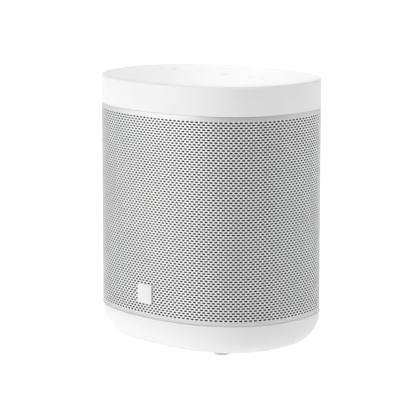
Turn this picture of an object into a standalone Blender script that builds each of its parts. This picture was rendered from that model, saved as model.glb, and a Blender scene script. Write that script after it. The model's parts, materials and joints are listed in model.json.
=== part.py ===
"""Tabletop smart speaker: an oval metal sleeve between a white plastic top cover and base.

The front is -Y, the long axis is X, +Z is up, and the origin is the middle of the footprint on the floor.
Every size below is in millimetres, and MM scales it to Blender's metres.
"""

import math

import bmesh
import bpy
from mathutils import Matrix, Vector

MM = 0.001
GAP = 0.3

# Outside of the body
HEIGHT = 151.0
HALF_WIDTH = 65.5
HALF_DEPTH = 51.9
OVAL_POWER = 2.34  # exponent of the plan's superellipse: 2 would be an ellipse
OVAL_SEGMENTS = 48
GRILLE_BOTTOM = 19.0
GRILLE_TOP = 134.5
GRILLE_INSET = 0.3
GRILLE_THICKNESS = 0.7
CLOTH_INSET = 1.3
CLOTH_THICKNESS = 0.3
LOCATING_INSET = 1.9  # outer face of the tongues that the sleeve slides over
WALL_INSET = 3.6  # inner face of the top cover's skirt and of the base's tongue
TONGUE = 3.5

# Base and feet
BASE_UNDERSIDE = 1.2
BASE_ROUNDING = 13.5
BASE_FLOOR = 3.4
BASE_WALL_TOP = 17.0  # where the inside of the bowl turns straight
BASE_INNER_ROUNDING = 11.5
FOOT_RADIUS = 5.0
FOOT_HEIGHT = 1.7
FOOT_X = 36.0
FOOT_Y = 27.5
POST_RADIUS = 4.0
POST_TOP = 25.6
JACK_HOLE_RADIUS = 5.5
JACK_HEIGHT = 11.5
COUNTERBORE_TOP = 15.0
POWER_POST_X = 9.0
POWER_POST_Y = 24.0
BADGE_HEIGHT = 32.2
BADGE_HALF = 5.5
BADGE_THICKNESS = 0.35
BADGE_GAP = 0.05  # between the badge's back and the plane of the body's front

# Acoustic chamber
CHAMBER_INSET = 6.0
CHAMBER_WALL = 2.5
CHAMBER_BOTTOM = 26.0
CHAMBER_TOP = 118.0
BAFFLE_Y = -39.0
FRONT_HALF_EDGE = 4.6
REAR_HALF_EDGE = 6.2
CORNER_X = 46.0
CORNER_LOW = 33.0
CORNER_HIGH = 111.0
CORNER_BOSS_RADIUS = 4.0
CORNER_HEAD_Y = 18.0  # where the heads of the screws that join the halves sit
CORNER_TIP_Y = -6.0
BOSS_RADIUS = 3.5
BOSS_DEPTH = 10.0
LEAD_Y = -31.8  # where the driver's lead leaves through the chamber's top

# Driver, measured forwards from the baffle's front face
DRIVER_HEIGHT = 76.0
DRIVER_HOLE = 28.8
DRIVER_SCREW_RADIUS = 31.7
DRIVER_BOSS = 6.0
DRIVER_BOSS_RADIUS = 3.2
FLANGE_RADIUS = 34.0
FLANGE_BACK = 1.4
FLANGE_FRONT = 2.6
DRIVER_STEPS = 24

# Electronics
TRAY_INSET = 6.5
TRAY_WALL = 2.0
TRAY_BOTTOM = 118.4
TRAY_TOP = 140.2
TRAY_SCREW_X = 28.0
TRAY_SCREW_Y = 24.0
BOARD_POST_X = 38.0
BOARD_POST_FRONT = -22.0
BOARD_POST_REAR = 27.0
BOARD_POST_RADIUS = 2.5
BOARD = 1.6
MAIN_BOARD_BOTTOM = 124.0
POWER_BOARD_BOTTOM = 5.5
TOP_BOARD_BOTTOM = 140.5
TOP_BOARD = 1.2
TOP_BOARD_INSET = 7.5
LIGHT_RING_INSET = 12.5
LIGHT_RING_WIDTH = 2.5
ANTENNA_X = 60.0
JACK_FRONT = 32.0
JACK_REAR = 44.0
JACK_HALF_WIDTH = 4.6
JACK_BORE_RADIUS = 2.9
JACK_BORE_DEPTH = 9.5
COVER_CEILING = 148.4
MIC_X = 40.0
MIC_HOLE_RADIUS = 0.6

# Fasteners: shank and head
SCREW_RADIUS = 1.2
SCREW_HEAD_RADIUS = 2.0
SCREW_HEAD = 1.4
SCREW_HOLE = 1.5
COUNTERBORE = 2.9

for old in list(bpy.data.objects):
    bpy.data.objects.remove(old, do_unlink=True)

parts = bpy.data.collections.new("smart_speaker")
cutters = bpy.data.collections.new("cutters")
bpy.context.scene.collection.children.link(parts)
bpy.context.scene.collection.children.link(cutters)
cutters.hide_render = True


# ---------------------------------------------------------------- materials


def make_material(name, colour, roughness, metallic=0.0):
    material = bpy.data.materials.new(name)
    material.use_nodes = True
    shader = material.node_tree.nodes["Principled BSDF"]
    shader.inputs["Base Color"].default_value = (*colour, 1.0)
    shader.inputs["Roughness"].default_value = roughness
    shader.inputs["Metallic"].default_value = metallic
    return material


WHITE_PLASTIC = make_material("white_plastic", (0.86, 0.86, 0.86), 0.45)
GRILLE_PAINT = make_material("grille_paint", (0.80, 0.80, 0.80), 0.40)
BADGE_PLASTIC = make_material("badge_plastic", (0.88, 0.88, 0.88), 0.35)
FOOT_RUBBER = make_material("foot_rubber", (0.45, 0.45, 0.46), 0.80)
BLACK_CLOTH = make_material("black_cloth", (0.02, 0.02, 0.02), 0.95)
BLACK_PLASTIC = make_material("black_plastic", (0.03, 0.03, 0.03), 0.55)
BLACK_RUBBER = make_material("black_rubber", (0.03, 0.03, 0.03), 0.85)
GREY_FOAM = make_material("grey_foam", (0.20, 0.20, 0.21), 0.95)
STEEL = make_material("steel", (0.60, 0.60, 0.61), 0.35, 1.0)
MAGNET = make_material("magnet", (0.12, 0.12, 0.13), 0.55, 0.3)
COPPER = make_material("copper", (0.72, 0.36, 0.20), 0.35, 1.0)
BRASS = make_material("brass", (0.75, 0.60, 0.28), 0.35, 1.0)
CONE_PAPER = make_material("cone_paper", (0.06, 0.06, 0.06), 0.80)
SPIDER_CLOTH = make_material("spider_cloth", (0.55, 0.40, 0.15), 0.90)
FORMER_FOIL = make_material("former_foil", (0.70, 0.70, 0.70), 0.30, 0.8)
CIRCUIT = make_material("circuit", (0.02, 0.12, 0.05), 0.45)
CAN_METAL = make_material("can_metal", (0.70, 0.70, 0.71), 0.25, 1.0)
ALUMINIUM = make_material("aluminium", (0.75, 0.75, 0.76), 0.40, 1.0)
DIFFUSER = make_material("diffuser", (0.90, 0.90, 0.90), 0.50)


# ---------------------------------------------------------------- shared shapes


def make_object(name, mesh, material, collection=parts):
    obj = bpy.data.objects.new(name, mesh)
    collection.objects.link(obj)
    if material:
        mesh.materials.append(material)
    return obj


def finished(bm, name):
    """A mesh data block from the bmesh, with its faces pointing out and its round sides smooth."""
    bmesh.ops.recalc_face_normals(bm, faces=bm.faces)
    mesh = bpy.data.meshes.new(name)
    bm.to_mesh(mesh)
    bm.free()
    mesh.shade_smooth()
    mesh.set_sharp_from_angle(angle=math.radians(35))
    return mesh


def combine(obj, bm, operation, name):
    """Cuts the bmesh's shape from obj, or joins it on."""
    cutter = make_object(f"{obj.name}_{name}", finished(bm, name), None, cutters)
    cutter.hide_render = True
    cutter.display_type = "WIRE"
    modifier = obj.modifiers.new(name, "BOOLEAN")
    modifier.operation = operation
    modifier.solver = "EXACT"
    modifier.object = cutter


def oval_points(inset):
    """The plan outline, moved in by inset, anticlockwise from +X."""
    points = []
    for i in range(OVAL_SEGMENTS):
        angle = 2 * math.pi * i / OVAL_SEGMENTS
        across = math.cos(angle)
        along = math.sin(angle)
        x = math.copysign(abs(across) ** (2 / OVAL_POWER), across) * (HALF_WIDTH - inset)
        y = math.copysign(abs(along) ** (2 / OVAL_POWER), along) * (HALF_DEPTH - inset)
        points.append((x, y))
    return points


def chamber_points(inset):
    """The acoustic chamber's plan: every second point of the oval, cut flat where the driver sits."""
    flat = BAFFLE_Y + inset - CHAMBER_INSET
    return [(x, max(y, flat)) for x, y in oval_points(inset)[::2]]


def loft(bm, loops, looped=False):
    """Extrudes one loop through a list of (points, z): a ring when looped, or else a solid with flat caps."""
    index = bm.verts.layers.int.new("index")
    verts = bmesh.ops.create_circle(bm, segments=len(loops[0][0]), radius=1.0)["verts"]
    for i, vert in enumerate(verts):
        vert[index] = i
    edges = list({edge for vert in verts for edge in vert.link_edges})
    first = edges
    for number, (points, z) in enumerate(loops + loops[:1] * looped):
        if number:
            made = bmesh.ops.extrude_edge_only(bm, edges=edges)["geom"]
            verts = [item for item in made if isinstance(item, bmesh.types.BMVert)]
            edges = [item for item in made if isinstance(item, bmesh.types.BMEdge)]
        for vert in verts:
            vert.co = Vector((*points[vert[index]], z)) * MM
    if looped:
        bmesh.ops.remove_doubles(bm, verts=bm.verts, dist=0.001 * MM)
    else:
        bmesh.ops.contextual_create(bm, geom=first)
        bmesh.ops.contextual_create(bm, geom=edges)
    bm.verts.layers.int.remove(index)


def oval_part(name, rings, material, looped=False):
    """A part whose every ring (inset, z) follows the plan outline."""
    bm = bmesh.new()
    loft(bm, [(oval_points(inset), z) for inset, z in rings], looped)
    return make_object(name, finished(bm, name), material)


def add_cylinder(bm, centre, radius, start, end, axis="Z", segments=16):
    """A solid cylinder along axis from start to end; centre is its place in the other two axes."""
    turn = {"Z": Matrix(), "Y": Matrix.Rotation(math.radians(-90), 4, "X")}[axis]
    middle = (start + end) / 2
    place = {"Z": (*centre, middle), "Y": (centre[0], middle, centre[1])}[axis]
    bmesh.ops.create_cone(
        bm,
        cap_ends=True,
        segments=segments,
        radius1=radius * MM,
        radius2=radius * MM,
        depth=(end - start) * MM,
        matrix=Matrix.Translation(Vector(place) * MM) @ turn,
    )


def add_box(bm, low, high):
    low = Vector(low) * MM
    high = Vector(high) * MM
    size = Matrix.Diagonal((*(high - low), 1.0))
    bmesh.ops.create_cube(bm, size=1.0, matrix=Matrix.Translation((low + high) / 2) @ size)


def block(name, low, high, material, bevel=0.0):
    bm = bmesh.new()
    add_box(bm, low, high)
    obj = make_object(name, finished(bm, name), material)
    if bevel:
        modifier = obj.modifiers.new("rounded_edges", "BEVEL")
        modifier.width = bevel * MM
        modifier.segments = 1
    return obj


def turned_mesh(name, profile, closed):
    """A profile of (radius, height), run top to bottom down its outer side, ready to be turned."""
    mesh = bpy.data.meshes.new(name)
    points = [(radius * MM, 0.0, height * MM) for radius, height in profile]
    edges = [(i, i + 1) for i in range(len(points) - 1)]
    if closed:
        edges.append((len(points) - 1, 0))
    mesh.from_pydata(points, edges, [])
    return mesh


def turned(name, mesh, material, place, forwards=False, steps=DRIVER_STEPS):
    """Turns the profile about its own Z axis, which points along -Y when forwards is true."""
    obj = make_object(name, mesh, None)
    if not mesh.materials:
        mesh.materials.append(material)
    obj.location = Vector(place) * MM
    if forwards:
        obj.rotation_euler = (math.radians(90), 0.0, 0.0)
    screw = obj.modifiers.new("turn", "SCREW")
    screw.angle = 2 * math.pi
    screw.steps = steps
    screw.render_steps = steps
    screw.use_merge_vertices = True
    screw.merge_threshold = 0.00001
    screw.use_smooth_shade = True
    return obj


def ring_profile(inner, outer, low, high):
    return [(outer, high), (outer, low), (inner, low), (inner, high)]


def wire(name, route, radius, material):
    """A lead along a smooth curve through the route's points."""
    smooth = smooth_route(route)
    curve = bpy.data.curves.new(name, "CURVE")
    curve.dimensions = "3D"
    curve.bevel_depth = radius * MM
    curve.bevel_resolution = 2
    curve.use_fill_caps = True
    spline = curve.splines.new("POLY")
    spline.points.add(len(smooth) - 1)
    for point, place in zip(spline.points, smooth):
        point.co = (*(place * MM), 1.0)
    curve.materials.append(material)
    obj = bpy.data.objects.new(name, curve)
    parts.objects.link(obj)
    return obj


def smooth_route(route, steps=3):
    """Catmull-Rom points through the route."""
    knots = [Vector(point) for point in route]
    knots = [2 * knots[0] - knots[1], *knots, 2 * knots[-1] - knots[-2]]
    points = []
    for before, start, end, after in zip(knots, knots[1:], knots[2:], knots[3:]):
        for step in range(steps):
            t = step / steps
            linear = (end - before) * t
            square = (2 * before - 5 * start + 4 * end - after) * t**2
            cube = (3 * start - before - 3 * end + after) * t**3
            points.append(start + (linear + square + cube) / 2)
    points.append(knots[-2])
    return points


def corners(x, y):
    """The four places (name, x, y) that mirror each other across both middle planes."""
    return [
        ("front_left", -x, -y),
        ("front_right", x, -y),
        ("rear_left", -x, y),
        ("rear_right", x, y),
    ]


def quarter_curve(count):
    """(sine, cosine) pairs from 90 degrees down to 0, for a rounding run bottom to side."""
    angles = [math.radians(90) * (1 - i / count) for i in range(count + 1)]
    return [(math.sin(angle), math.cos(angle)) for angle in angles]


# ---------------------------------------------------------------- outer shells


def make_top_cover():
    """A cap with a rounded top edge and a tongue that the grille sleeve slides over."""
    rings = [
        (30.0, HEIGHT),
        (10.0, HEIGHT - 0.05),
        (2.2, HEIGHT - 0.3),
        (1.0, HEIGHT - 0.6),
        (0.3, HEIGHT - 1.2),
        (0.0, HEIGHT - 2.2),
        (0.0, GRILLE_TOP),
        (LOCATING_INSET, GRILLE_TOP),
        (LOCATING_INSET, GRILLE_TOP - TONGUE),
        (WALL_INSET, GRILLE_TOP - TONGUE),
        (WALL_INSET, COVER_CEILING - 1.4),
        (WALL_INSET + 1.4, COVER_CEILING),
    ]
    cover = oval_part("top_cover", rings, WHITE_PLASTIC)
    holes = bmesh.new()
    for x in (-MIC_X, MIC_X):
        add_cylinder(holes, (x, 0.0), MIC_HOLE_RADIUS, COVER_CEILING - 2, HEIGHT + 2, segments=8)
    combine(cover, holes, "DIFFERENCE", "microphone_holes")


def make_base_shell():
    """A bowl that rounds in to a flat underside, with four posts and the power socket's opening."""
    rise = GRILLE_BOTTOM - BASE_UNDERSIDE
    outside = [
        (BASE_ROUNDING * (1 - cosine), BASE_UNDERSIDE + rise * (1 - sine))
        for sine, cosine in quarter_curve(6)
    ]
    inner_rise = BASE_WALL_TOP - BASE_FLOOR
    inside = [
        (WALL_INSET + BASE_INNER_ROUNDING * (1 - cosine), BASE_FLOOR + inner_rise * (1 - sine))
        for sine, cosine in reversed(quarter_curve(4))
    ]
    ledge = [
        (LOCATING_INSET, GRILLE_BOTTOM),
        (LOCATING_INSET, GRILLE_BOTTOM + TONGUE),
        (WALL_INSET, GRILLE_BOTTOM + TONGUE),
    ]
    base = oval_part("base_shell", outside + ledge + inside, WHITE_PLASTIC)

    posts = bmesh.new()
    pockets = bmesh.new()
    holes = bmesh.new()
    for _, x, y in corners(FOOT_X, FOOT_Y):
        add_cylinder(posts, (x, y), POST_RADIUS, BASE_FLOOR - 0.7, POST_TOP)
        add_cylinder(pockets, (x, y), FOOT_RADIUS + 0.4, 0.0, BASE_UNDERSIDE + 0.8, segments=20)
        add_cylinder(holes, (x, y), SCREW_HOLE, 10.0, POST_TOP + 2, segments=10)
    for x in (-POWER_POST_X, POWER_POST_X):
        place = (x, POWER_POST_Y)
        add_cylinder(posts, place, 2.0, BASE_FLOOR - 0.7, POWER_BOARD_BOTTOM - GAP, segments=10)
    combine(base, posts, "UNION", "posts")
    combine(base, pockets, "DIFFERENCE", "foot_pockets")
    combine(base, holes, "DIFFERENCE", "screw_holes")
    bores = bmesh.new()
    for _, x, y in corners(FOOT_X, FOOT_Y):
        add_cylinder(bores, (x, y), COUNTERBORE, 0.0, COUNTERBORE_TOP, segments=12)
    combine(base, bores, "DIFFERENCE", "counterbores")
    opening = bmesh.new()
    inside = JACK_REAR - 6.0
    outside = HALF_DEPTH + 8.1
    place = (0.0, JACK_HEIGHT)
    add_cylinder(opening, place, JACK_HOLE_RADIUS, inside, outside, axis="Y", segments=20)
    combine(base, opening, "DIFFERENCE", "power_opening")


def make_grille():
    bottom = GRILLE_BOTTOM + GAP
    top = GRILLE_TOP - GAP
    inner = GRILLE_INSET + GRILLE_THICKNESS
    rings = [(inner, bottom), (GRILLE_INSET, bottom), (GRILLE_INSET, top), (inner, top)]
    oval_part("grille_sleeve", rings, GRILLE_PAINT, looped=True)
    inner = CLOTH_INSET + CLOTH_THICKNESS
    rings = [(inner, bottom), (CLOTH_INSET, bottom), (CLOTH_INSET, top), (inner, top)]
    oval_part("grille_cloth", rings, BLACK_CLOTH, looped=True)


def make_badge():
    """A blank square plate low on the front of the sleeve."""
    back = -HALF_DEPTH + BADGE_GAP
    low = (-BADGE_HALF, back - BADGE_THICKNESS, BADGE_HEIGHT - BADGE_HALF)
    high = (BADGE_HALF, back, BADGE_HEIGHT + BADGE_HALF)
    block("badge_plate", low, high, BADGE_PLASTIC)


def make_feet():
    profile = [
        (0.0, FOOT_HEIGHT),
        (FOOT_RADIUS, FOOT_HEIGHT),
        (FOOT_RADIUS, 0.4),
        (FOOT_RADIUS - 0.4, 0.0),
        (0.0, 0.0),
    ]
    mesh = turned_mesh("foot", profile, closed=False)
    for name, x, y in corners(FOOT_X, FOOT_Y):
        turned(f"foot_{name}", mesh, FOOT_RUBBER, (x, y, 0.0), steps=16)


# ---------------------------------------------------------------- acoustic chamber


def chamber_solid(name):
    bm = bmesh.new()
    outline = chamber_points(CHAMBER_INSET)
    loft(bm, [(outline, CHAMBER_BOTTOM), (outline, CHAMBER_TOP)])
    return make_object(name, finished(bm, name), BLACK_PLASTIC)


def hollow_out(half):
    bm = bmesh.new()
    outline = chamber_points(CHAMBER_INSET + CHAMBER_WALL)
    floor = CHAMBER_BOTTOM + CHAMBER_WALL
    ceiling = CHAMBER_TOP - CHAMBER_WALL + 0.5
    loft(bm, [(outline, floor), (outline, ceiling)])
    combine(half, bm, "DIFFERENCE", "hollow")


def add_end_bosses(half, side):
    """Bosses inside the floor and ceiling for the base's and the tray's screws."""
    bosses = bmesh.new()
    holes = bmesh.new()
    for x in (-FOOT_X, FOOT_X):
        y = side * FOOT_Y
        floor = CHAMBER_BOTTOM
        add_cylinder(bosses, (x, y), BOSS_RADIUS, floor + 1, floor + BOSS_DEPTH, segments=12)
        add_cylinder(holes, (x, y), SCREW_HOLE, floor - 1, floor + BOSS_DEPTH - 2, segments=10)
    for x in (-TRAY_SCREW_X, TRAY_SCREW_X):
        y = side * TRAY_SCREW_Y
        ceiling = CHAMBER_TOP
        add_cylinder(bosses, (x, y), BOSS_RADIUS, ceiling - BOSS_DEPTH, ceiling - 1, segments=12)
        add_cylinder(holes, (x, y), SCREW_HOLE, ceiling - BOSS_DEPTH + 2, ceiling + 1, segments=10)
    combine(half, bosses, "UNION", "end_bosses")
    combine(half, holes, "DIFFERENCE", "end_holes")


def corner_places():
    names = ("lower_left", "lower_right", "upper_left", "upper_right")
    places = (
        (-CORNER_X, CORNER_LOW),
        (CORNER_X, CORNER_LOW),
        (-CORNER_X, CORNER_HIGH),
        (CORNER_X, CORNER_HIGH),
    )
    return list(zip(names, places))


def driver_screw_places():
    step = DRIVER_SCREW_RADIUS * math.sqrt(0.5)
    names = ("lower_left", "lower_right", "upper_left", "upper_right")
    places = (
        (-step, DRIVER_HEIGHT - step),
        (step, DRIVER_HEIGHT - step),
        (-step, DRIVER_HEIGHT + step),
        (step, DRIVER_HEIGHT + step),
    )
    return list(zip(names, places))


def make_enclosure_front():
    """The front half: the baffle, the driver's hole and the bosses for its screws."""
    half = chamber_solid("enclosure_front")
    hollow_out(half)
    beyond = bmesh.new()
    add_box(beyond, (-90, FRONT_HALF_EDGE, 0), (90, 90, 150))
    combine(half, beyond, "DIFFERENCE", "parting_plane")
    add_end_bosses(half, -1)

    bosses = bmesh.new()
    holes = bmesh.new()
    for _, place in corner_places():
        start = BAFFLE_Y + 8.0
        end = FRONT_HALF_EDGE
        add_cylinder(bosses, place, CORNER_BOSS_RADIUS, start, end, axis="Y", segments=12)
        add_cylinder(holes, place, SCREW_HOLE, CORNER_TIP_Y, end + 1, axis="Y", segments=10)
    for _, place in driver_screw_places():
        behind = BAFFLE_Y + CHAMBER_WALL + DRIVER_BOSS
        add_cylinder(bosses, place, DRIVER_BOSS_RADIUS, BAFFLE_Y + 1, behind, axis="Y", segments=12)
        add_cylinder(holes, place, SCREW_HOLE, BAFFLE_Y - 1, behind - 1, axis="Y", segments=10)
    combine(half, bosses, "UNION", "screw_bosses")
    combine(half, holes, "DIFFERENCE", "screw_holes")

    openings = bmesh.new()
    place = (0.0, DRIVER_HEIGHT)
    add_cylinder(
        openings, place, DRIVER_HOLE, BAFFLE_Y - 5, BAFFLE_Y + 5, axis="Y", segments=DRIVER_STEPS
    )
    add_cylinder(openings, (0.0, LEAD_Y), 2.3, CHAMBER_TOP - 6, CHAMBER_TOP + 3, segments=12)
    combine(half, openings, "DIFFERENCE", "driver_and_lead_openings")


def make_enclosure_rear():
    """The rear half: a tub with four counterbored corner bosses."""
    half = chamber_solid("enclosure_rear")
    hollow_out(half)
    beyond = bmesh.new()
    add_box(beyond, (-90, -90, 0), (90, REAR_HALF_EDGE, 150))
    combine(half, beyond, "DIFFERENCE", "parting_plane")
    add_end_bosses(half, 1)

    bosses = bmesh.new()
    holes = bmesh.new()
    bores = bmesh.new()
    for _, place in corner_places():
        start = REAR_HALF_EDGE
        end = CORNER_HEAD_Y
        add_cylinder(bosses, place, CORNER_BOSS_RADIUS, start, end + 14, axis="Y", segments=12)
        add_cylinder(holes, place, SCREW_HOLE, start - 1, end + 4, axis="Y", segments=10)
        add_cylinder(bores, place, COUNTERBORE, end, end + 32, axis="Y", segments=12)
    combine(half, bosses, "UNION", "screw_bosses")
    combine(half, holes, "DIFFERENCE", "screw_holes")
    combine(half, bores, "DIFFERENCE", "counterbores")


def make_enclosure_seal():
    """A flat frame between the two halves' edges."""
    half_width = HALF_WIDTH - CHAMBER_INSET - 0.5
    height = CHAMBER_TOP - CHAMBER_BOTTOM - 1.0
    width = 1.4
    thickness = REAR_HALF_EDGE - FRONT_HALF_EDGE - 2 * GAP
    curve = bpy.data.curves.new("enclosure_seal", "CURVE")
    curve.dimensions = "2D"
    curve.fill_mode = "BOTH"
    curve.extrude = thickness / 2 * MM
    for shrink in (0.0, width):
        x = (half_width - shrink) * MM
        y = (height / 2 - shrink) * MM
        spline = curve.splines.new("POLY")
        spline.points.add(3)
        for point, corner in zip(spline.points, ((-x, -y), (x, -y), (x, y), (-x, y))):
            point.co = (*corner, 0.0, 1.0)
        spline.use_cyclic_u = True
    curve.materials.append(BLACK_RUBBER)
    seal = bpy.data.objects.new("enclosure_seal", curve)
    middle = ((FRONT_HALF_EDGE + REAR_HALF_EDGE) / 2, (CHAMBER_BOTTOM + CHAMBER_TOP) / 2)
    seal.location = Vector((0.0, *middle)) * MM
    seal.rotation_euler = (math.radians(90), 0.0, 0.0)
    parts.objects.link(seal)


def make_damping_pad():
    low = (-31.0, 20.0, 48.0)
    high = (31.0, 34.0, 104.0)
    block("damping_pad", low, high, GREY_FOAM, bevel=4.0)


# ---------------------------------------------------------------- driver


def driver_part(name, profile, material, closed=True, steps=DRIVER_STEPS):
    """A part turned about the driver's axis, with heights forwards from the baffle."""
    mesh = turned_mesh(name, profile, closed)
    return turned(name, mesh, material, (0.0, BAFFLE_Y, DRIVER_HEIGHT), True, steps)


def cut_driver_screw_holes(obj):
    holes = bmesh.new()
    for _, place in driver_screw_places():
        add_cylinder(holes, place, SCREW_HOLE, BAFFLE_Y - 6, BAFFLE_Y + 9, axis="Y", segments=10)
    combine(obj, holes, "DIFFERENCE", "screw_holes")


def make_basket():
    profile = [
        (FLANGE_RADIUS, FLANGE_FRONT),
        (FLANGE_RADIUS, FLANGE_BACK),
        (28.4, FLANGE_BACK),
        (27.6, -2.0),
        (23.0, -13.4),
        (22.2, -18.4),
        (12.0, -18.4),
        (12.0, -17.2),
        (18.6, -17.2),
        (18.6, -13.4),
        (21.6, -13.4),
        (26.3, -2.0),
        (27.0, FLANGE_FRONT),
    ]
    basket = driver_part("driver_basket", profile, STEEL)
    cut_driver_screw_holes(basket)
    windows = bmesh.new()
    for quarter in range(4):
        turn = Matrix.Rotation(math.radians(45 + 90 * quarter), 4, "Y")
        centre = Vector((0.0, BAFFLE_Y, DRIVER_HEIGHT)) * MM
        window = Vector((24.0, 8.5, 0.0)) * MM
        size = Matrix.Diagonal((14 * MM, 8 * MM, 20 * MM, 1.0))
        place = Matrix.Translation(centre) @ turn @ Matrix.Translation(window) @ size
        bmesh.ops.create_cube(windows, size=1.0, matrix=place)
    combine(basket, windows, "DIFFERENCE", "windows")


def surround_profile():
    """A half roll between two flat rims, as the outline of its thin section."""
    middle = 26.2
    height = 3.5
    outer = [
        (middle + 2.3 * math.cos(angle), height + 2.3 * math.sin(angle))
        for angle in (math.radians(36 * i) for i in range(6))
    ]
    inner = [
        (middle + 1.8 * math.cos(angle), height + 0.2 + 1.7 * math.sin(angle))
        for angle in (math.radians(45 * i) for i in range(5))
    ]
    outer_rim = [(29.3, height), (29.3, 2.9), (28.1, 2.9)]
    inner_rim = [(21.6, 3.7), (21.6, 4.2), (23.6, 4.2)]
    return outer_rim + inner[1:-1] + [(24.2, 3.7)] + inner_rim + outer[4:0:-1]


def spider_profile():
    """A corrugated disc with flat rims, from its outer edge in along the back, then out along the front."""
    inner = 8.2
    outer = 21.2
    level = -12.6
    wave = 0.8
    half_thickness = 0.2
    count = 9
    front = []
    back = []
    for i in range(count + 1):
        radius = inner + (outer - inner) * i / count
        height = level
        if 1 < i < count - 1:
            height += wave if i % 2 else -wave
        front.append((radius, height + half_thickness))
        back.append((radius, height - half_thickness))
    return front[-1:] + back[::-1] + front[:-1]


def make_driver():
    gasket = driver_part(
        "driver_gasket", ring_profile(29.2, FLANGE_RADIUS, GAP, FLANGE_BACK - GAP), BLACK_RUBBER
    )
    cut_driver_screw_holes(gasket)
    make_basket()
    driver_part("driver_surround", surround_profile(), BLACK_RUBBER)
    driver_part("driver_spider", spider_profile(), SPIDER_CLOTH, steps=18)
    driver_part("driver_top_plate", ring_profile(9.3, 20.5, -22.4, -18.7), STEEL)
    driver_part("driver_magnet", ring_profile(11.5, 22.0, -31.0, -22.7), MAGNET)
    yoke = [
        (0.0, -18.7),
        (6.9, -18.7),
        (6.9, -31.3),
        (20.5, -31.3),
        (20.5, -34.8),
        (0.0, -34.8),
    ]
    driver_part("driver_yoke", yoke, STEEL, closed=False)
    block("driver_terminal", (-5.0, -30.0, 101.8), (5.0, -24.0, 103.4), BLACK_PLASTIC)


def make_moving_coil():
    """The parts that move together: cone, dust cap, coil former and winding."""
    rig = bpy.data.objects.new("cone_slide", None)
    rig.location = Vector((0.0, BAFFLE_Y, DRIVER_HEIGHT)) * MM
    rig.rotation_euler = (math.radians(90), 0.0, 0.0)
    parts.objects.link(rig)
    cone = [(23.2, 3.3), (23.2, 2.8), (15.6, -2.9), (8.2, -7.5), (8.2, -6.9), (15.6, -2.3)]
    cap = [
        (0.0, -2.6),
        (3.4, -2.9),
        (6.6, -3.9),
        (9.4, -5.6),
        (9.0, -5.95),
        (6.3, -4.35),
        (3.2, -3.35),
        (0.0, -3.05),
    ]
    former = ring_profile(7.5, 7.9, -24.2, -6.4)
    winding = ring_profile(8.2, 8.7, -23.8, -17.4)
    moving = [
        driver_part("driver_cone", cone, CONE_PAPER),
        driver_part("driver_dust_cap", cap, CONE_PAPER, closed=False),
        driver_part("driver_coil_former", former, FORMER_FOIL, steps=18),
        driver_part("driver_coil_winding", winding, COPPER, steps=18),
    ]
    for piece in moving:
        piece.parent = rig
        piece.location = (0.0, 0.0, 0.0)
        piece.rotation_euler = (0.0, 0.0, 0.0)


def make_lead():
    """The driver's lead, from its terminal through a grommet to the main board."""
    grommet = [
        (3.4, 119.0),
        (3.4, CHAMBER_TOP + GAP),
        (1.95, CHAMBER_TOP + GAP),
        (1.95, 115.7),
        (3.2, 115.7),
        (3.2, 115.0),
        (1.3, 115.0),
        (1.3, 119.0),
    ]
    mesh = turned_mesh("lead_grommet", grommet, closed=True)
    turned("lead_grommet", mesh, BLACK_RUBBER, (0.0, LEAD_Y, 0.0), steps=16)
    route = [
        (0.0, -27.0, 104.6),
        (0.0, -28.6, 108.0),
        (0.0, LEAD_Y, 113.5),
        (0.0, LEAD_Y, 118.0),
        (0.0, LEAD_Y, 123.0),
        (0.0, -30.2, 127.6),
        (0.0, -26.4, 129.4),
        (0.0, -23.6, 127.0),
    ]
    wire("driver_lead", route, 0.9, BLACK_RUBBER)


# ---------------------------------------------------------------- electronics


def make_top_frame():
    """The tray on top of the chamber that holds both boards."""
    inner = TRAY_INSET + TRAY_WALL
    floor = TRAY_BOTTOM + TRAY_WALL
    rings = [
        (TRAY_INSET, TRAY_BOTTOM),
        (TRAY_INSET, TRAY_TOP),
        (inner, TRAY_TOP),
        (inner, floor),
    ]
    tray = oval_part("top_frame", rings, BLACK_PLASTIC)
    posts = bmesh.new()
    post_top = MAIN_BOARD_BOTTOM - GAP
    for x in (-BOARD_POST_X, BOARD_POST_X):
        for y in (BOARD_POST_FRONT, BOARD_POST_REAR):
            add_cylinder(posts, (x, y), BOARD_POST_RADIUS, floor - 1, post_top, segments=12)
    combine(tray, posts, "UNION", "board_posts")
    holes = bmesh.new()
    for _, x, y in corners(TRAY_SCREW_X, TRAY_SCREW_Y):
        add_cylinder(holes, (x, y), SCREW_HOLE, TRAY_BOTTOM - 1, floor + 1, segments=10)
    add_cylinder(holes, (0.0, LEAD_Y), 4.2, TRAY_BOTTOM - 1, floor + 1, segments=16)
    add_box(holes, (3.0, 36.0, TRAY_BOTTOM - 1), (11.0, 52.0, TRAY_BOTTOM + 8))
    combine(tray, holes, "DIFFERENCE", "openings")


def make_main_board():
    z = MAIN_BOARD_BOTTOM
    top = z + BOARD + GAP
    block("main_board", (-42.0, -27.0, z), (42.0, 31.0, z + BOARD), CIRCUIT)
    block("processor_can", (-26.0, -12.0, top), (4.0, 14.0, top + 3.0), CAN_METAL, bevel=0.6)
    block("radio_can", (-40.0, 17.0, top), (-24.0, 29.0, top + 2.4), CAN_METAL, bevel=0.6)
    block("thermal_pad", (-23.0, -9.0, top + 3.3), (1.0, 11.0, top + 4.0), GREY_FOAM)
    block("heat_spreader", (-33.0, -19.0, top + 4.3), (27.0, 15.5, top + 5.8), ALUMINIUM)


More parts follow.
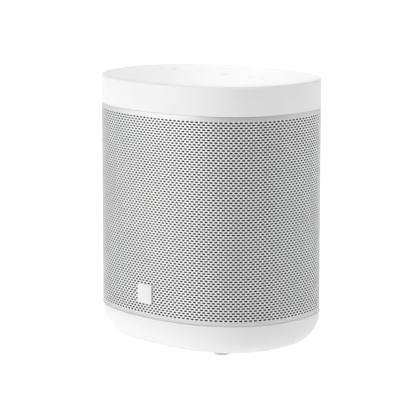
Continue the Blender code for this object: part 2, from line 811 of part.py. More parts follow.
def make_ribbon_cable():
    """A flat cable from the main board's rear edge up to the top board."""
    path = [(27.5, 126.2), (34.0, 126.4), (38.0, 129.0), (38.4, 134.0), (36.0, 138.6), (30.0, 139.6)]
    bm = bmesh.new()
    rows = []
    for y, z in path:
        rows.append([bm.verts.new(Vector((x, y, z)) * MM) for x in (-19.0, -7.0)])
    edges = [bm.edges.new(pair) for row in zip(rows, rows[1:]) for pair in zip(*row)]
    edges += [bm.edges.new(row) for row in rows]
    bmesh.ops.holes_fill(bm, edges=edges, sides=4)
    mesh = bpy.data.meshes.new("ribbon_cable")
    bm.to_mesh(mesh)
    bm.free()
    cable = make_object("ribbon_cable", mesh, DIFFUSER)
    solid = cable.modifiers.new("thickness", "SOLIDIFY")
    solid.thickness = 0.3 * MM
    solid.offset = 0.0


def make_top_board():
    board_top = TOP_BOARD_BOTTOM + TOP_BOARD
    rings = [(TOP_BOARD_INSET, TOP_BOARD_BOTTOM), (TOP_BOARD_INSET, board_top)]
    oval_part("top_board", rings, CIRCUIT)
    low = board_top + GAP
    high = COVER_CEILING - GAP
    outer = LIGHT_RING_INSET
    inner = outer + LIGHT_RING_WIDTH
    rings = [(inner, low), (outer, low), (outer, high), (inner, high)]
    oval_part("light_ring", rings, DIFFUSER, looped=True)
    profile = ring_profile(0.9, 2.6, low, high)
    mesh = turned_mesh("microphone_boot", profile, closed=True)
    for name, x in (("left", -MIC_X), ("right", MIC_X)):
        turned(f"microphone_boot_{name}", mesh, BLACK_RUBBER, (x, 0.0, 0.0), steps=12)


def make_antennas():
    for name, side in (("left", -1), ("right", 1)):
        inner = side * ANTENNA_X
        outer = side * (ANTENNA_X + 0.8)
        low = (min(inner, outer), -11.0, 121.0)
        high = (max(inner, outer), 11.0, 130.8)
        block(f"antenna_{name}", low, high, BRASS)


def make_power_inlet():
    """The socket behind the rear opening, its pin, its board and the lead up to the main board."""
    top = POWER_BOARD_BOTTOM + BOARD
    low = (-JACK_HALF_WIDTH, JACK_FRONT, top + GAP)
    high = (JACK_HALF_WIDTH, JACK_REAR, 2 * JACK_HEIGHT - top - GAP)
    jack = block("power_jack", low, high, BLACK_PLASTIC)
    bore = bmesh.new()
    bottom = JACK_REAR - JACK_BORE_DEPTH
    place = (0.0, JACK_HEIGHT)
    add_cylinder(bore, place, JACK_BORE_RADIUS, bottom, JACK_REAR + 2, axis="Y", segments=16)
    combine(jack, bore, "DIFFERENCE", "bore")
    pin = [(0.0, 9.0), (0.7, 9.0), (1.0, 8.4), (1.0, GAP), (0.0, GAP)]
    mesh = turned_mesh("power_pin", pin, closed=False)
    pin_object = turned("power_pin", mesh, STEEL, (0.0, bottom, JACK_HEIGHT), steps=12)
    pin_object.rotation_euler = (math.radians(-90), 0.0, 0.0)
    block("power_board", (-12.0, 20.0, POWER_BOARD_BOTTOM), (12.0, 41.5, top), CIRCUIT)
    route = [
        (8.0, 27.0, 8.2),
        (8.0, 29.5, 12.0),
        (8.0, 37.0, 15.6),
        (8.0, 44.6, 18.6),
        (8.0, 46.9, 24.0),
        (8.0, 46.9, 70.0),
        (8.0, 46.9, 114.0),
        (8.0, 46.4, 119.5),
        (8.0, 43.0, 123.4),
        (8.0, 36.0, 127.0),
        (8.0, 30.0, 128.6),
        (8.0, 26.4, 127.0),
    ]
    wire("power_lead", route, 0.8, BLACK_RUBBER)


# ---------------------------------------------------------------- fasteners


def screw_mesh(name, length):
    """A pan-head screw with its head's underside at height 0 and its tip at -length."""
    profile = [
        (0.0, SCREW_HEAD),
        (SCREW_HEAD_RADIUS, SCREW_HEAD),
        (SCREW_HEAD_RADIUS, 0.0),
        (SCREW_RADIUS, 0.0),
        (SCREW_RADIUS, 1.0 - length),
        (0.0, -length),
    ]
    return turned_mesh(name, profile, closed=False)


def place_screws(prefix, length, places, turn):
    mesh = screw_mesh(prefix, length)
    for name, place in places:
        screw = turned(f"{prefix}_{name}", mesh, STEEL, place, steps=8)
        screw.rotation_euler = turn


def make_screws():
    forwards = (math.radians(90), 0.0, 0.0)
    backwards = (math.radians(-90), 0.0, 0.0)
    upside_down = (math.radians(180), 0.0, 0.0)
    y = BAFFLE_Y - FLANGE_FRONT - GAP
    places = [(name, (x, y, z)) for name, (x, z) in driver_screw_places()]
    place_screws("driver_screw", 9.0, places, forwards)
    y = CORNER_HEAD_Y + GAP
    places = [(name, (x, y, z)) for name, (x, z) in corner_places()]
    place_screws("enclosure_screw", 22.0, places, backwards)
    z = COUNTERBORE_TOP - GAP
    places = [(name, (x, y, z)) for name, x, y in corners(FOOT_X, FOOT_Y)]
    place_screws("base_screw", 16.0, places, upside_down)
    z = TRAY_BOTTOM + TRAY_WALL + GAP
    places = [(name, (x, y, z)) for name, x, y in corners(TRAY_SCREW_X, TRAY_SCREW_Y)]
    place_screws("top_frame_screw", 10.0, places, (0.0, 0.0, 0.0))


make_top_cover()
make_base_shell()
make_grille()
make_badge()
make_feet()
make_enclosure_front()
make_enclosure_rear()
make_enclosure_seal()
make_damping_pad()
make_driver()
make_moving_coil()
make_lead()
make_top_frame()
make_main_board()
make_ribbon_cable()
make_top_board()
make_antennas()
make_power_inlet()
make_screws()
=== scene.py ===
"""The looks of a tabletop smart speaker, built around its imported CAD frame.

The frame is in metres with +Z up and the front at -Y. Sizes are in millimetres times MM, or in plain
millimetres where a comment or docstring says so. The studio's distances are in metres.
The sleeve, cloth, shells, badge, feet, touch marks, power socket, driver suspension and soft pads are
modelled here. The other inner parts keep their CAD shapes and get their materials here.
"""

import json
import math

import bmesh
import bpy
import numpy as np
from mathutils import Matrix, Vector


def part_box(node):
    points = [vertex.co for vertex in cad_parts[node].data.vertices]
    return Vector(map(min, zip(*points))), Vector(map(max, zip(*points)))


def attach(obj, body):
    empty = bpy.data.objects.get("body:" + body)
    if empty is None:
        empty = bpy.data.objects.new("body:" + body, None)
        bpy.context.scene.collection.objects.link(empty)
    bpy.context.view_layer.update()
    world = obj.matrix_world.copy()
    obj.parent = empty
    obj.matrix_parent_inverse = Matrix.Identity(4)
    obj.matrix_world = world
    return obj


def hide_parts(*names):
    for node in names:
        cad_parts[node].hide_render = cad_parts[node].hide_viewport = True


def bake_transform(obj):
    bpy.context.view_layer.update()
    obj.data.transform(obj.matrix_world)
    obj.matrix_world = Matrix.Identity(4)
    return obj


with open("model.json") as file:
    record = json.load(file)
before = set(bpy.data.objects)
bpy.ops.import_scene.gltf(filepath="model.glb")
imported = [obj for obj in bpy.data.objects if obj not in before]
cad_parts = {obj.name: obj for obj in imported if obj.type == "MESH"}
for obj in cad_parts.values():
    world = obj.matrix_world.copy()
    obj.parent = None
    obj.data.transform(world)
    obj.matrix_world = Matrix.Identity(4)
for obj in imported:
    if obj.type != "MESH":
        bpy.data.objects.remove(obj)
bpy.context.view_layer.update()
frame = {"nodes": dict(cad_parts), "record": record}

MM = 0.001
BODY = "housing"

# Driving sizes, read from the frame
COVER_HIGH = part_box("top_cover")[1]
BASE_LOW, BASE_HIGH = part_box("base_shell")
SLEEVE_LOW, SLEEVE_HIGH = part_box("grille_sleeve")
HALF_WIDTH = COVER_HIGH.x
HALF_DEPTH = COVER_HIGH.y
HEIGHT = COVER_HIGH.z

OVAL_POWER = 2.34  # the plan's superellipse, as in the CAD
SHELL_SEGMENTS = 288
SEAM = 0.06 * MM  # the hairline between the sleeve and each shell
SLEEVE_INSET = 0.3 * MM
SLEEVE_SHEET = 0.32 * MM
SLEEVE_GAP = 0.3 * MM  # the CAD's gap at each end of the sleeve
GRILLE_BOTTOM = SLEEVE_LOW.z - SLEEVE_GAP
GRILLE_TOP = SLEEVE_HIGH.z + SLEEVE_GAP
RIM_TURN = 0.15 * MM  # how far the sleeve's edge turns in
CLOTH_INSET = 1.3 * MM
CLOTH_SHEET = 0.25 * MM
CLOTH_LAP = 6.0 * MM
TONGUE_INSET = 1.9 * MM  # the shells' tongues stand inside the sleeve and its cloth
WALL_INSET = 3.6 * MM
TONGUE = 3.5 * MM
SOCKET_HOLE_RADIUS = 5.5 * MM
PAST = 1.0 * MM  # how far a cutting tool runs past the surface it cuts

# Slots of the sleeve
SLOT_ROWS = 81
SLOT_COLUMNS = 138
SLOT_FIRST_ROW = 22.1 * MM
SLOT_ROW_PITCH = 1.363 * MM
SLOT_LENGTH = 1.96 * MM
SLOT_HEIGHT = 0.9 * MM
SLOT_SECTIONS = 6

# Driver suspension and pads
RING_STEPS = 96  # flat steps round a whole ring of the suspension
PAD_CUTS = 23
PAD_WAVES = 7.0  # the phase of a pad's unevenness from its middle to its edge, in radians

# Touch marks, in mm
MARK_THICKNESS = 0.06
MARK_STROKE = 0.4

# Softboxes: azimuth, elevation, watts
SOFTBOXES = (
    (-124, 20, 3.0),
    (-85, 20, 1.8),
    (-30, 20, 8.6),
    (0, 20, 3.3),
    (150, 20, 3.6),
    (210, 20, 3.9),
    (90, 55, 7.5),
    (0, 89, 7.8),
)
SOFTBOX_SIZE = 0.9
SOFTBOX_DISTANCE = 1.6


# ---------------------------------------------------------------- materials

NOISE_LOW = 0.3  # most of a noise texture's values lie from here
NOISE_HIGH = 0.7  # to here
WAVE_SPACING = 0.31  # metres between a wave texture's bands at scale 1
DRIFT_SIZE = 9.0 * MM
GLOSS_SPREAD = 0.04
BRUSH_SPREAD = 0.07
FINE_BUMP = 0.02 * MM
THREAD_BUMP = 0.1 * MM


def new_material(name):
    material = bpy.data.materials.new(name)
    material.use_nodes = True
    nodes = material.node_tree.nodes
    return material, nodes, material.node_tree.links, nodes["Principled BSDF"]


def place_nodes(nodes, links, stretch=(1.0, 1.0, 1.0)):
    """The surface's own place in metres, stretched along each axis."""
    where = nodes.new("ShaderNodeTexCoord")
    mapping = nodes.new("ShaderNodeMapping")
    mapping.inputs["Scale"].default_value = stretch
    links.new(where.outputs["Object"], mapping.inputs["Vector"])
    return mapping.outputs["Vector"]


def noise_node(nodes, links, vector, grain, detail=2.0):
    """Noise whose features are about grain metres across."""
    noise = nodes.new("ShaderNodeTexNoise")
    noise.inputs["Scale"].default_value = 1.0 / grain
    noise.inputs["Detail"].default_value = detail
    links.new(vector, noise.inputs["Vector"])
    return noise.outputs["Fac"]


def spread_node(nodes, links, value, low, high):
    """Stretches a noise value to the range low to high."""
    spread = nodes.new("ShaderNodeMapRange")
    spread.inputs["From Min"].default_value = NOISE_LOW
    spread.inputs["From Max"].default_value = NOISE_HIGH
    spread.inputs["To Min"].default_value = low
    spread.inputs["To Max"].default_value = high
    links.new(value, spread.inputs["Value"])
    return spread.outputs["Result"]


def ramp_node(nodes, links, value, low, low_colour, high, high_colour):
    """A colour that goes from low_colour at the value low to high_colour at the value high."""
    ramp = nodes.new("ShaderNodeValToRGB")
    ramp.color_ramp.elements[0].position = low
    ramp.color_ramp.elements[1].position = high
    ramp.color_ramp.elements[0].color = (*low_colour, 1.0)
    ramp.color_ramp.elements[1].color = (*high_colour, 1.0)
    links.new(value, ramp.inputs["Fac"])
    return ramp.outputs["Color"]


def shaded_node(nodes, links, value, colour, amount):
    """The colour, made a little darker where a noise value is low and a little lighter where it is high."""
    dark = tuple(max(0.0, part * (1 - amount)) for part in colour)
    light = tuple(min(1.0, part * (1 + amount)) for part in colour)
    return ramp_node(nodes, links, value, NOISE_LOW, dark, NOISE_HIGH, light)


def bump_node(nodes, links, shader, height, depth, strength):
    bump = nodes.new("ShaderNodeBump")
    bump.inputs["Distance"].default_value = depth
    bump.inputs["Strength"].default_value = strength
    links.new(height, bump.inputs["Height"])
    links.new(bump.outputs["Normal"], shader.inputs["Normal"])


def grained(name, colour, roughness, metallic=0.0, amount=0.02, grain=0.25, bump=0.15):
    """A moulded or painted finish: slow colour drift, and a fine grain, in mm, in its gloss and its bump."""
    material, nodes, links, shader = new_material(name)
    vector = place_nodes(nodes, links)
    drift = noise_node(nodes, links, vector, DRIFT_SIZE)
    links.new(shaded_node(nodes, links, drift, colour, amount), shader.inputs["Base Color"])
    fine = noise_node(nodes, links, vector, grain * MM, detail=3.0)
    gloss = spread_node(nodes, links, fine, roughness - GLOSS_SPREAD, roughness + GLOSS_SPREAD)
    links.new(gloss, shader.inputs["Roughness"])
    shader.inputs["Metallic"].default_value = metallic
    bump_node(nodes, links, shader, fine, FINE_BUMP, bump)
    return material


def woven(name, colour, thread, roughness=0.95, contrast=0.5):
    """Two crossing sets of threads, thread mm apart, in the axes that the piece lies in."""
    material, nodes, links, shader = new_material(name)
    vector = place_nodes(nodes, links)
    heights = []
    for direction in ("X", "Z"):
        wave = nodes.new("ShaderNodeTexWave")
        wave.bands_direction = direction
        wave.inputs["Scale"].default_value = WAVE_SPACING / (thread * MM)
        wave.inputs["Distortion"].default_value = 0.6
        wave.inputs["Detail Scale"].default_value = 2.0
        links.new(vector, wave.inputs["Vector"])
        heights.append(wave.outputs["Fac"])
    weave = nodes.new("ShaderNodeMath")
    weave.operation = "MAXIMUM"
    links.new(heights[0], weave.inputs[0])
    links.new(heights[1], weave.inputs[1])
    height = weave.outputs["Value"]
    links.new(shaded_node(nodes, links, height, colour, contrast), shader.inputs["Base Color"])
    shader.inputs["Roughness"].default_value = roughness
    bump_node(nodes, links, shader, height, THREAD_BUMP, 0.6)
    return material


def brushed(name, colour, roughness, stretch=(1.0, 1.0, 30.0)):
    """Bare metal with fine lines across the stretched axis."""
    material, nodes, links, shader = new_material(name)
    vector = place_nodes(nodes, links, stretch)
    lines = noise_node(nodes, links, vector, 2.0 * MM, detail=4.0)
    links.new(shaded_node(nodes, links, lines, colour, 0.06), shader.inputs["Base Color"])
    gloss = spread_node(nodes, links, lines, roughness - BRUSH_SPREAD, roughness + BRUSH_SPREAD)
    links.new(gloss, shader.inputs["Roughness"])
    shader.inputs["Metallic"].default_value = 1.0
    bump_node(nodes, links, shader, lines, FINE_BUMP, 0.2)
    return material


def speckled(name, colour, spot, share, grain, roughness=0.9):
    """Open-cell foam or pressed paper: cells, grain mm across, of a second shade over the first."""
    material, nodes, links, shader = new_material(name)
    vector = place_nodes(nodes, links)
    cells = nodes.new("ShaderNodeTexVoronoi")
    cells.inputs["Scale"].default_value = 1.0 / (grain * MM)
    links.new(vector, cells.inputs["Vector"])
    distance = cells.outputs["Distance"]
    links.new(ramp_node(nodes, links, distance, 0.0, spot, share, colour), shader.inputs["Base Color"])
    shader.inputs["Roughness"].default_value = roughness
    bump_node(nodes, links, shader, distance, 0.2 * MM, 0.5)
    return material


def circuit_board(name):
    """Green solder mask with lighter copper runs under it."""
    material, nodes, links, shader = new_material(name)
    vector = place_nodes(nodes, links)
    tracks = nodes.new("ShaderNodeTexBrick")
    tracks.inputs["Scale"].default_value = 120.0
    tracks.inputs["Mortar Size"].default_value = 0.04
    tracks.inputs["Color1"].default_value = (0.012, 0.10, 0.035, 1.0)
    tracks.inputs["Color2"].default_value = (0.016, 0.13, 0.045, 1.0)
    tracks.inputs["Mortar"].default_value = (0.06, 0.24, 0.09, 1.0)
    links.new(vector, tracks.inputs["Vector"])
    links.new(tracks.outputs["Color"], shader.inputs["Base Color"])
    shader.inputs["Roughness"].default_value = 0.35
    bump_node(nodes, links, shader, tracks.outputs["Fac"], 0.03 * MM, 0.4)
    return material


def wound(name, colour, wire=0.2):
    """Enamelled wire in close turns along Y, wire mm apart."""
    material, nodes, links, shader = new_material(name)
    vector = place_nodes(nodes, links)
    turns = nodes.new("ShaderNodeTexWave")
    turns.bands_direction = "Y"
    turns.inputs["Scale"].default_value = WAVE_SPACING / (wire * MM)
    links.new(vector, turns.inputs["Vector"])
    height = turns.outputs["Fac"]
    links.new(shaded_node(nodes, links, height, colour, 0.3), shader.inputs["Base Color"])
    shader.inputs["Metallic"].default_value = 1.0
    shader.inputs["Roughness"].default_value = 0.3
    bump_node(nodes, links, shader, height, THREAD_BUMP, 0.6)
    return material


MATERIALS = {
    "white_plastic": grained("white_plastic_satin", (0.835, 0.835, 0.835), 0.46, amount=0.006, grain=0.2),
    "grille_paint": grained(
        "grille_satin_paint", (0.86, 0.86, 0.86), 0.6, metallic=1.0, amount=0.01, grain=0.12, bump=0.2
    ),
    "badge_plastic": grained("badge_smooth_plastic", (0.83, 0.83, 0.83), 0.35, amount=0.006, grain=0.2),
    "foot_rubber": grained("foot_grey_rubber", (0.70, 0.70, 0.71), 0.85, amount=0.06, grain=0.3, bump=0.4),
    "black_cloth": woven("black_acoustic_cloth", (0.022, 0.022, 0.023), thread=0.35),
    "black_plastic": grained("black_moulded_plastic", (0.03, 0.03, 0.031), 0.5, amount=0.15, bump=0.5),
    "black_rubber": grained("black_soft_rubber", (0.025, 0.025, 0.025), 0.8, amount=0.15, bump=0.5),
    "grey_foam": speckled(
        "grey_open_foam", (0.22, 0.22, 0.23), spot=(0.08, 0.08, 0.085), share=0.6, grain=0.9
    ),
    "steel": brushed("zinc_plated_steel", (0.62, 0.62, 0.63), 0.32),
    "magnet": grained(
        "ferrite_magnet", (0.09, 0.09, 0.095), 0.5, metallic=0.2, amount=0.25, grain=0.4, bump=0.6
    ),
    "copper": wound("enamelled_copper", (0.72, 0.34, 0.18)),
    "brass": brushed("stamped_brass", (0.78, 0.62, 0.30), 0.3),
    "cone_paper": speckled(
        "coated_paper_cone", (0.05, 0.05, 0.052), spot=(0.025, 0.025, 0.026), share=0.8, grain=0.7,
        roughness=0.75,
    ),
    "spider_cloth": woven(
        "treated_spider_cloth", (0.50, 0.36, 0.13), thread=0.5, roughness=0.85, contrast=0.25
    ),
    "former_foil": brushed("coil_former_foil", (0.72, 0.72, 0.73), 0.25),
    "circuit": circuit_board("green_circuit_board"),
    "can_metal": brushed("tinned_shield_can", (0.72, 0.72, 0.72), 0.22, stretch=(30.0, 1.0, 1.0)),
    "aluminium": brushed("rolled_aluminium", (0.77, 0.77, 0.78), 0.38, stretch=(1.0, 30.0, 1.0)),
    "diffuser": grained("milky_diffuser", (0.88, 0.88, 0.88), 0.5, amount=0.01),
}
# The margins' paint is darker than the slotted sheet's: painted shade under the cover and above the base.
RIM_PAINTED_SHADE = grained(
    "grille_rim_painted_shade", (0.71, 0.71, 0.71), 0.6, metallic=1.0, amount=0.01, grain=0.12, bump=0.2
)
MARK_INK = grained("touch_mark_grey", (0.775, 0.775, 0.78), 0.5, amount=0.01)

for part in frame["record"]["subparts"]:
    node = frame["nodes"][part["node"]]
    node.data.materials.clear()
    node.data.materials.append(MATERIALS[part["material_slot"]])


# ---------------------------------------------------------------- shared shapes


def signed_power(value, power):
    return np.copysign(np.abs(value) ** power, value)


def oval_at(inset, angles):
    """Points of the plan outline, moved in by inset, at the given parameter angles."""
    power = 2 / OVAL_POWER
    x = signed_power(np.cos(angles), power) * (HALF_WIDTH - inset)
    y = signed_power(np.sin(angles), power) * (HALF_DEPTH - inset)
    return np.column_stack([x, y])


def travel_round(inset, samples):
    """Parameter angles once round the outline from the front's middle, and the distance travelled to each."""
    angles = np.linspace(-math.pi / 2, 3 * math.pi / 2, samples)
    steps = np.hypot(*np.diff(oval_at(inset, angles), axis=0).T)
    return angles, np.concatenate([[0.0], np.cumsum(steps)])


def even_angles(count):
    """Parameter angles of count points spaced evenly along the outline, the first at the front's middle."""
    angles, travelled = travel_round(0.0, samples=20001)
    return np.interp(np.arange(count) * travelled[-1] / count, travelled, angles)


SHELL_ANGLES = even_angles(SHELL_SEGMENTS)


def add_object(name, data):
    obj = bpy.data.objects.new(name, data)
    bpy.context.scene.collection.objects.link(obj)
    return obj


def mesh_from(bm, name):
    """The bmesh as a mesh. The bmesh itself is freed."""
    mesh = bpy.data.meshes.new(name)
    bm.to_mesh(mesh)
    bm.free()
    return mesh


def finish_mesh(obj, angle=35):
    """Smooth shading with sharp edges where the surface turns by more than angle."""
    obj.data.shade_smooth()
    obj.data.set_sharp_from_angle(angle=math.radians(angle))
    return obj


def piece_from(name, mesh, slot, material=None):
    """A new object for the mesh, riding on the housing, in its slot's material or the one given."""
    obj = add_object(name, mesh)
    mesh.materials.clear()
    mesh.materials.append(material or MATERIALS[slot])
    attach(obj, BODY)
    return obj


def plan_middle(node):
    """The middle of a CAD node's box, seen from above."""
    low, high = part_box(node)
    return (low.x + high.x) / 2, (low.y + high.y) / 2


def face_out(mesh):
    bm = bmesh.new()
    bm.from_mesh(mesh)
    bmesh.ops.recalc_face_normals(bm, faces=bm.faces)
    bm.to_mesh(mesh)
    bm.free()


def oval_solid(name, rings, looped=False):
    """A closed mesh whose rings (inset, z) follow the outline.

    It has flat caps on its first and last ring or, where it is looped, joins the last ring to the first."""
    count = len(SHELL_ANGLES)
    rows = [np.column_stack([oval_at(inset, SHELL_ANGLES), np.full(count, z)]) for inset, z in rings]
    around = np.arange(count)
    after = (around + 1) % count
    faces = []
    for ring in range(len(rings) if looped else len(rings) - 1):
        low = ring * count
        high = (ring + 1) % len(rings) * count
        faces += np.column_stack([low + around, low + after, high + after, high + around]).tolist()
    if not looped:
        last = (len(rings) - 1) * count
        faces += [around[::-1].tolist(), (last + around).tolist()]
    mesh = bpy.data.meshes.new(name)
    mesh.from_pydata(np.concatenate(rows).tolist(), [], faces)
    mesh.update()
    face_out(mesh)
    return mesh


def cylinder_mesh(name, places, radius, start, end, axis="Z", segments=48, flare=0.0):
    """Closed cylinders from start to end along Z or Y; flare widens the end by that much."""
    bm = bmesh.new()
    turn = Matrix() if axis == "Z" else Matrix.Rotation(math.radians(-90), 4, "X")
    middle = (start + end) / 2
    for first, second in places:
        place = (first, second, middle) if axis == "Z" else (first, middle, second)
        bmesh.ops.create_cone(
            bm,
            cap_ends=True,
            segments=segments,
            radius1=radius,
            radius2=radius + flare,
            depth=end - start,
            matrix=Matrix.Translation(place) @ turn,
        )
    bmesh.ops.recalc_face_normals(bm, faces=bm.faces)
    return mesh_from(bm, name)


def turned_mesh(name, profile, steps):
    """The profile of (radius, height) turned about Z, closed where it starts and ends on the axis."""
    bm = bmesh.new()
    verts = [bm.verts.new((radius, 0.0, height)) for radius, height in profile]
    edges = [bm.edges.new(pair) for pair in zip(verts, verts[1:])]
    bmesh.ops.spin(
        bm, geom=verts + edges, cent=(0, 0, 0), axis=(0, 0, 1), angle=2 * math.pi, steps=steps
    )
    bmesh.ops.remove_doubles(bm, verts=bm.verts, dist=0.001 * MM)
    bmesh.ops.recalc_face_normals(bm, faces=bm.faces)
    return mesh_from(bm, name)


def combined(name, mesh, steps):
    """The mesh after a list of Boolean steps (operation, other mesh), under the name given."""
    base = add_object("boolean_base", mesh)
    helpers = []
    for operation, other in steps:
        helper = add_object("boolean_tool", other)
        modifier = base.modifiers.new(operation.lower(), "BOOLEAN")
        modifier.operation = operation
        modifier.solver = "EXACT"
        modifier.object = helper
        helpers.append(helper)
    graph = bpy.context.evaluated_depsgraph_get()
    result = bpy.data.meshes.new_from_object(base.evaluated_get(graph))
    for obj in [base, *helpers]:
        bpy.data.objects.remove(obj, do_unlink=True)
    result.name = name
    return result


def arc(centre, radius, start, end, count):
    """Points (first, second) along an arc, angles in degrees."""
    angles = np.radians(np.linspace(start, end, count + 1))
    return [(centre[0] + radius * math.cos(a), centre[1] + radius * math.sin(a)) for a in angles]


# ---------------------------------------------------------------- perforated sleeve


def slot_cell():
    """One cell round a slot: the 10 points of the slot's outline, and the 16 triangles round them.

    In a triangle a number is a point of the outline, and b0 to b5 are the cell's border points, anticlockwise
    from its lower left."""
    straight = (SLOT_LENGTH - SLOT_HEIGHT) / 2
    radius = SLOT_HEIGHT / 2
    right = arc((straight, 0.0), radius, -90, 90, 4)
    left = arc((-straight, 0.0), radius, 90, 270, 4)
    triangles = [
        ("b0", "b1", 9), ("b1", 0, 9), ("b1", "b2", 0),
        ("b2", 1, 0), ("b2", 2, 1), ("b2", "b3", 2), ("b3", 3, 2), ("b3", 4, 3),
        ("b3", "b4", 4), ("b4", 5, 4), ("b4", "b5", 5),
        ("b5", 6, 5), ("b5", 7, 6), ("b5", "b0", 7), ("b0", 8, 7), ("b0", 9, 8),
    ]
    return right + left, triangles


class SleeveTrack:
    """The sleeve's outer outline by distance along it, from the front's middle, anticlockwise from above."""

    def __init__(self):
        self.angles, self.travelled = travel_round(SLEEVE_INSET, samples=40001)
        self.length = self.travelled[-1]

    def points(self, distance, height, depth):
        """Points at each distance and height, moved in from the outer face by each depth along its normal."""
        angles = np.interp(np.mod(distance, self.length), self.travelled, self.angles)
        flat = oval_at(SLEEVE_INSET, angles)
        half = np.array([HALF_WIDTH, HALF_DEPTH]) - SLEEVE_INSET
        slope = signed_power(flat / half, OVAL_POWER - 1) / half
        normal = slope / np.linalg.norm(slope, axis=1)[:, None]
        flat = flat - normal * np.reshape(depth, (-1, 1))
        return np.column_stack([flat, height])


def row_edge(level):
    """The height of the line under slot row level."""
    return SLOT_FIRST_ROW + (level - 0.5) * SLOT_ROW_PITCH


def sleeve_sheet(first, last, pitch):
    """The outer face of the columns from first to last: (distance, height) points and triangles."""
    outline, cell = slot_cell()
    points = []
    triangles = []
    index = {}

    def corner(column, level):
        """The grid point at column half-pitches along and level rows up."""
        key = (column, level)
        if key not in index:
            index[key] = len(points)
            points.append((column * pitch / 2, row_edge(level)))
        return index[key]

    for row in range(SLOT_ROWS):
        shift = row % 2
        centre_z = SLOT_FIRST_ROW + row * SLOT_ROW_PITCH
        for column in range(first, last):
            middle = 2 * column + shift
            names = {
                "b0": corner(middle - 1, row),
                "b1": corner(middle, row),
                "b2": corner(middle + 1, row),
                "b3": corner(middle + 1, row + 1),
                "b4": corner(middle, row + 1),
                "b5": corner(middle - 1, row + 1),
            }
            start = len(points)
            centre_s = middle * pitch / 2
            points.extend((centre_s + s, centre_z + z) for s, z in outline)
            for triangle in cell:
                triangles.append([names[v] if isinstance(v, str) else start + v for v in triangle])
    return np.array(points), np.array(triangles)


def thick_sheet(name, outer, inner, triangles):
    """A closed mesh between two like sheets, walled along every free edge."""
    count = len(outer)
    edges = np.concatenate([triangles[:, [0, 1]], triangles[:, [1, 2]], triangles[:, [2, 0]]])
    keys = np.sort(edges, axis=1)
    _, first, uses = np.unique(keys, axis=0, return_index=True, return_counts=True)
    free = edges[first[uses == 1]]
    walls = np.concatenate([
        np.column_stack([free[:, 1], free[:, 0], free[:, 0] + count]),
        np.column_stack([free[:, 1], free[:, 0] + count, free[:, 1] + count]),
    ])
    faces = np.concatenate([triangles, triangles[:, ::-1] + count, walls]).astype(np.int32)
    mesh = bpy.data.meshes.new(name)
    mesh.vertices.add(2 * count)
    mesh.vertices.foreach_set("co", np.concatenate([outer, inner]).astype(np.float32).ravel())
    mesh.loops.add(faces.size)
    mesh.loops.foreach_set("vertex_index", faces.ravel())
    mesh.polygons.add(len(faces))
    mesh.polygons.foreach_set("loop_start", np.arange(0, faces.size, 3, dtype=np.int32))
    mesh.update(calc_edges=True)
    return mesh


def make_rim(name, seam, edge):
    """The plain margin of the sleeve from the slots to its edge, which turns in a little. Its darker paint is
    painted shade.
    """
    turn = math.copysign(RIM_TURN, edge - seam)
    inner = SLEEVE_INSET + SLEEVE_SHEET
    rings = [
        (inner, seam),
        (SLEEVE_INSET, seam),
        (SLEEVE_INSET, edge - turn),
        (SLEEVE_INSET + RIM_TURN / 3, edge - 0.3 * turn),
        (SLEEVE_INSET + RIM_TURN, edge),
        (inner, edge),
    ]
    finish_mesh(piece_from(name, oval_solid(name, rings, looped=True), "grille_paint", RIM_PAINTED_SHADE), angle=50)


def make_sleeve():
    """The slotted metal sleeve, in sections that meet edge to edge, and its two plain margins."""
    track = SleeveTrack()
    pitch = track.length / SLOT_COLUMNS
    share = SLOT_COLUMNS // SLOT_SECTIONS
    for number in range(SLOT_SECTIONS):
        flat, triangles = sleeve_sheet(number * share, (number + 1) * share, pitch)
        outer = track.points(flat[:, 0], flat[:, 1], 0.0)
        inner = track.points(flat[:, 0], flat[:, 1], SLEEVE_SHEET)
        mesh = thick_sheet(f"slotted_sleeve_{number + 1}", outer, inner, triangles)
        section = piece_from(mesh.name, mesh, "grille_paint")
        finish_mesh(section, angle=50)
    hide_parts("grille_sleeve")
    make_rim("sleeve_rim_lower", row_edge(0), GRILLE_BOTTOM + SEAM)
    make_rim("sleeve_rim_upper", row_edge(SLOT_ROWS), GRILLE_TOP - SEAM)


def make_cloth():
    """The dark cloth behind the slots: one strip once round, its end glued under its start at the back."""
    track = SleeveTrack()
    low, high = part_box("grille_cloth")
    columns = 300
    rows = 25
    lap_step = 1.2 * CLOTH_SHEET  # how far the end lies inside the start
    distance = np.linspace(0.0, track.length + CLOTH_LAP, columns)
    height = np.linspace(low.z, high.z, rows)
    step_in = np.clip((distance - track.length) / CLOTH_LAP + 1.0, 0.0, 1.0) * lap_step
    depth = np.tile(CLOTH_INSET - SLEEVE_INSET + step_in, rows)
    along = np.tile(distance + track.length / 2, rows)
    up = np.repeat(height, columns)
    corner = (np.arange(rows - 1)[:, None] * columns + np.arange(columns - 1)).ravel()
    triangles = np.concatenate([
        np.column_stack([corner, corner + 1, corner + columns + 1]),
        np.column_stack([corner, corner + columns + 1, corner + columns]),
    ])
    outer = track.points(along, up, depth)
    inner = track.points(along, up, depth + CLOTH_SHEET)
    mesh = thick_sheet("acoustic_cloth", outer, inner, triangles)
    cloth = finish_mesh(piece_from("acoustic_cloth", mesh, "black_cloth"), angle=50)
    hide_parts("grille_cloth")


# ---------------------------------------------------------------- shells


